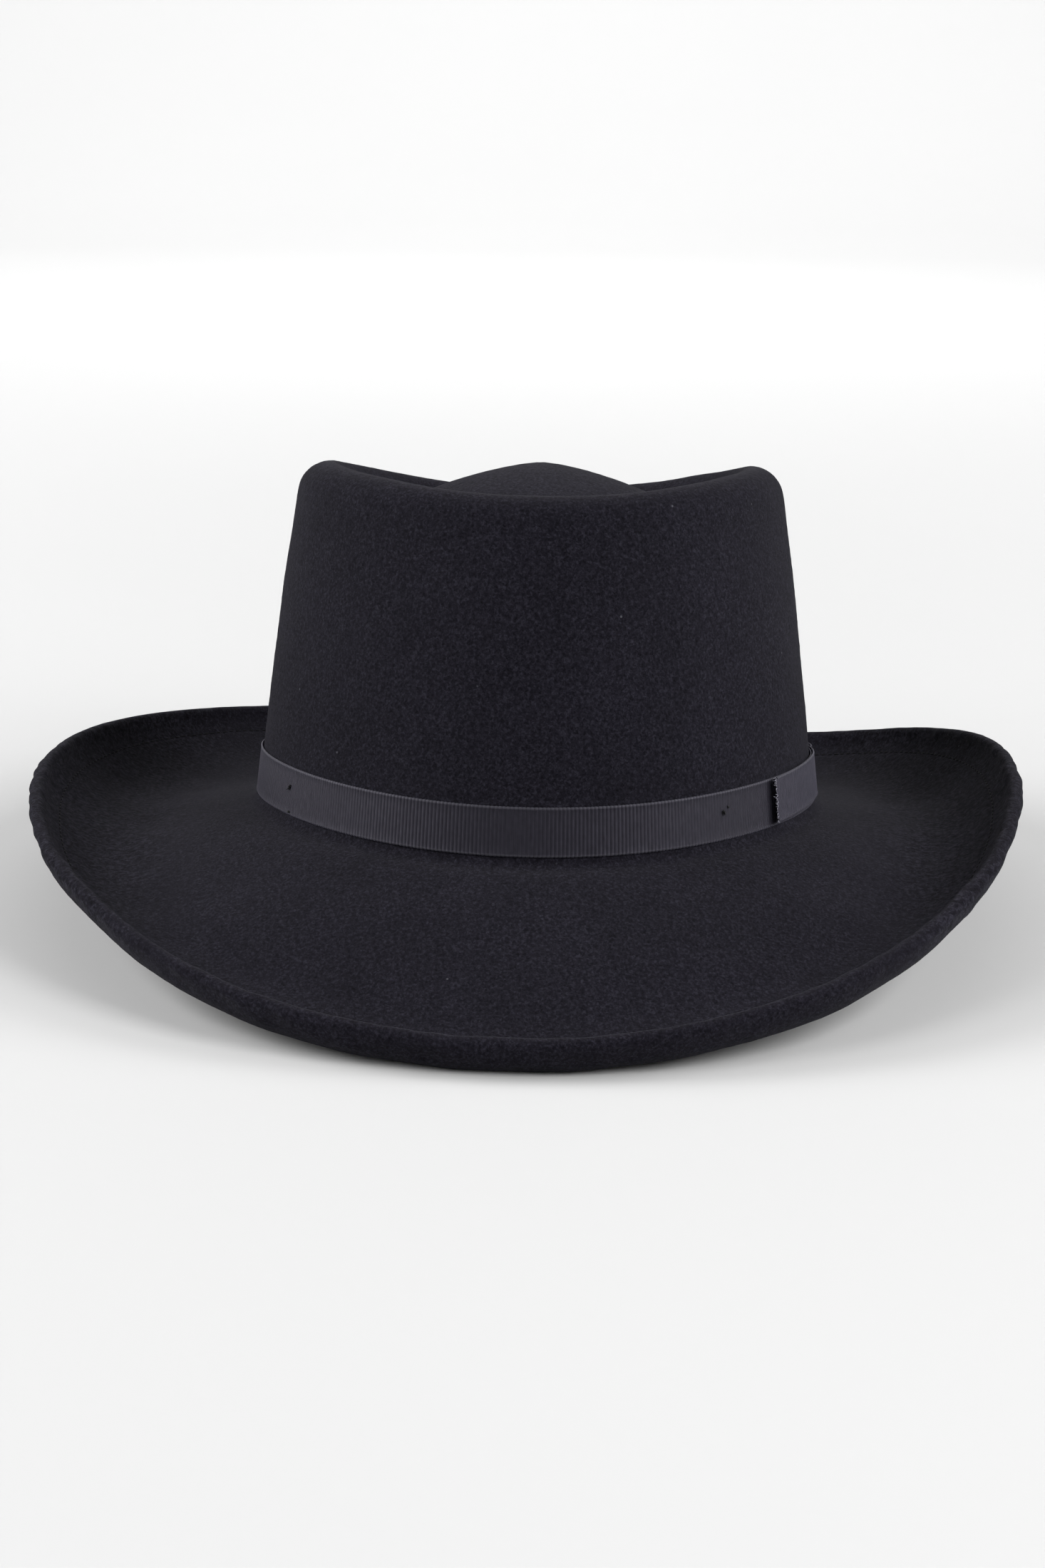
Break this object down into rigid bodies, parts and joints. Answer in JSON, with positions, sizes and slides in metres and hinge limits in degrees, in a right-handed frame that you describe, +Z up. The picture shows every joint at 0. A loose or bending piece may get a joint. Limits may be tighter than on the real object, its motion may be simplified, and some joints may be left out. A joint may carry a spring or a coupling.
{
  "type": "gambler hat",
  "caption": "Felt hat with a telescope-creased oval crown, a curled stitched brim, a thin grosgrain band with a flat side bow, a sweatband and a satin lining.",
  "frame": {"origin": "centre of the hat's footprint on the surface it rests on", "axes": "+Z up, -Y towards the front of the hat, where the wearer faces, +X towards the wearer's left, the side with the bow"},
  "size_m": [0.3034, 0.3474, 0.1354],
  "materials": {
    "felt": "matt black wool felt with a short brushed nap",
    "grosgrain": "black grosgrain ribbon with fine upright ribs and a soft sheen",
    "thread": "black twisted polyester sewing thread",
    "sweatband_leather": "smooth black roan leather, lightly polished",
    "cotton_tape": "black woven cotton tape",
    "reed_plastic": "translucent off-white extruded cord",
    "satin": "black satin with a soft gloss"
  },
  "bodies": {
    "root": {"felt_body": "felt", "brim_stitching": "thread", "ribbon_band": "grosgrain", "bow_tails": "grosgrain", "bow_loops": "grosgrain", "bow_knot": "grosgrain", "band_tack_left": "thread", "band_tack_right": "thread", "band_tack_back": "thread", "sweatband": "sweatband_leather", "sweatband_tape": "cotton_tape", "sweatband_reed": "reed_plastic", "sweatband_stitching": "thread", "sweatband_bow": "grosgrain", "lining_wall": "satin", "lining_tip": "satin", "lining_piping": "satin"}
  },
  "joints": []
}
